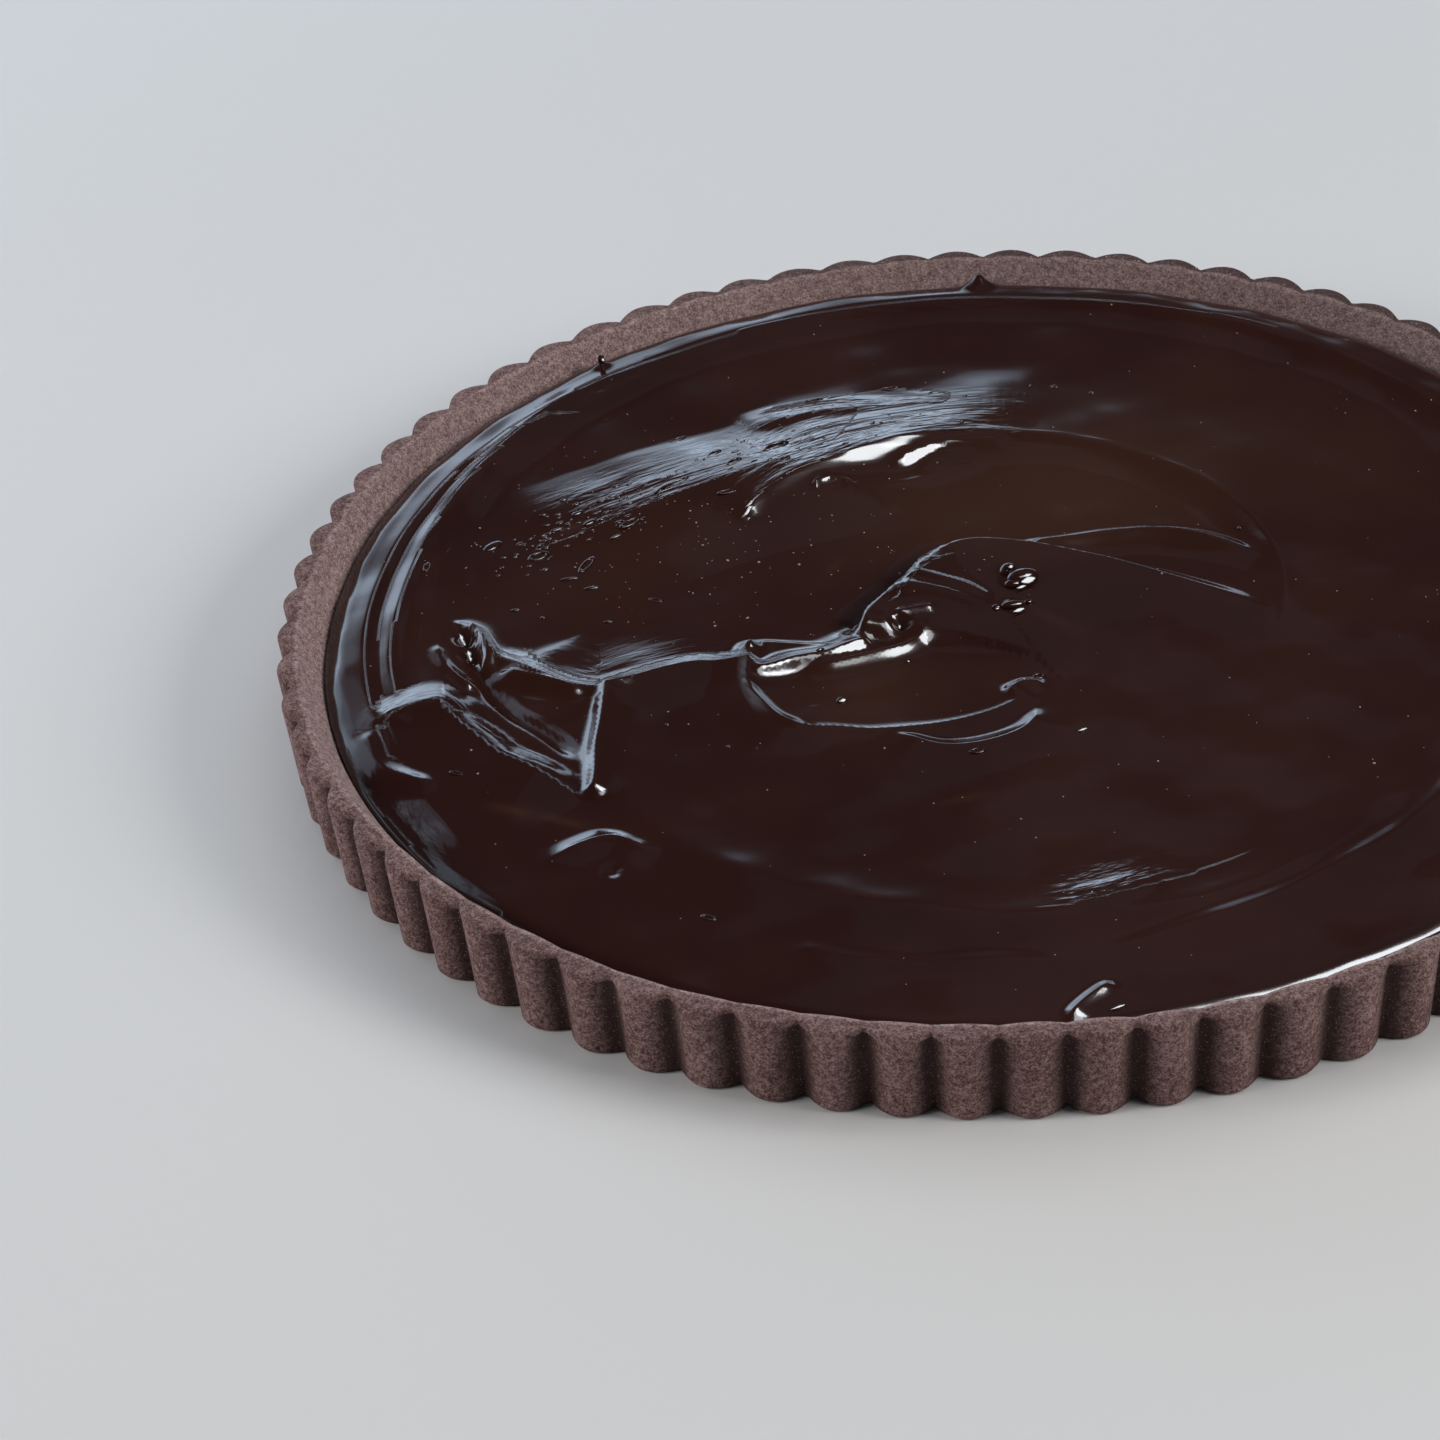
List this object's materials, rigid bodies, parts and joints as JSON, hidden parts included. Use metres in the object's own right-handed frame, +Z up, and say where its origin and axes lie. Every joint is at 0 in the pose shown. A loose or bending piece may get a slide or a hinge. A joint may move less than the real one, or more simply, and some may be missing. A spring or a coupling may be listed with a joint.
{
  "type": "chocolate tart",
  "caption": "Round chocolate tart: a low fluted shortcrust case filled with dark glossy ganache, left in spoon swirls.",
  "frame": {"origin": "middle of the flat base, on the surface that the tart stands on", "axes": "+Z up through the middle of the tart; -Y is the side that faces the viewer when the loose left end of the swirl lies on the left (-X)"},
  "size_m": [0.2783, 0.2784, 0.02],
  "materials": {
    "baked_pastry": "baked cocoa shortcrust: matt, sandy, full of fine crumb, darker in the flutes and along the rim",
    "dark_ganache": "soft set dark chocolate ganache: glossy, smooth in the spoon's troughs, with tiny bubbles and specks"
  },
  "bodies": {
    "root": {"pastry_case": "baked_pastry", "chocolate_ganache": "dark_ganache"}
  },
  "joints": []
}
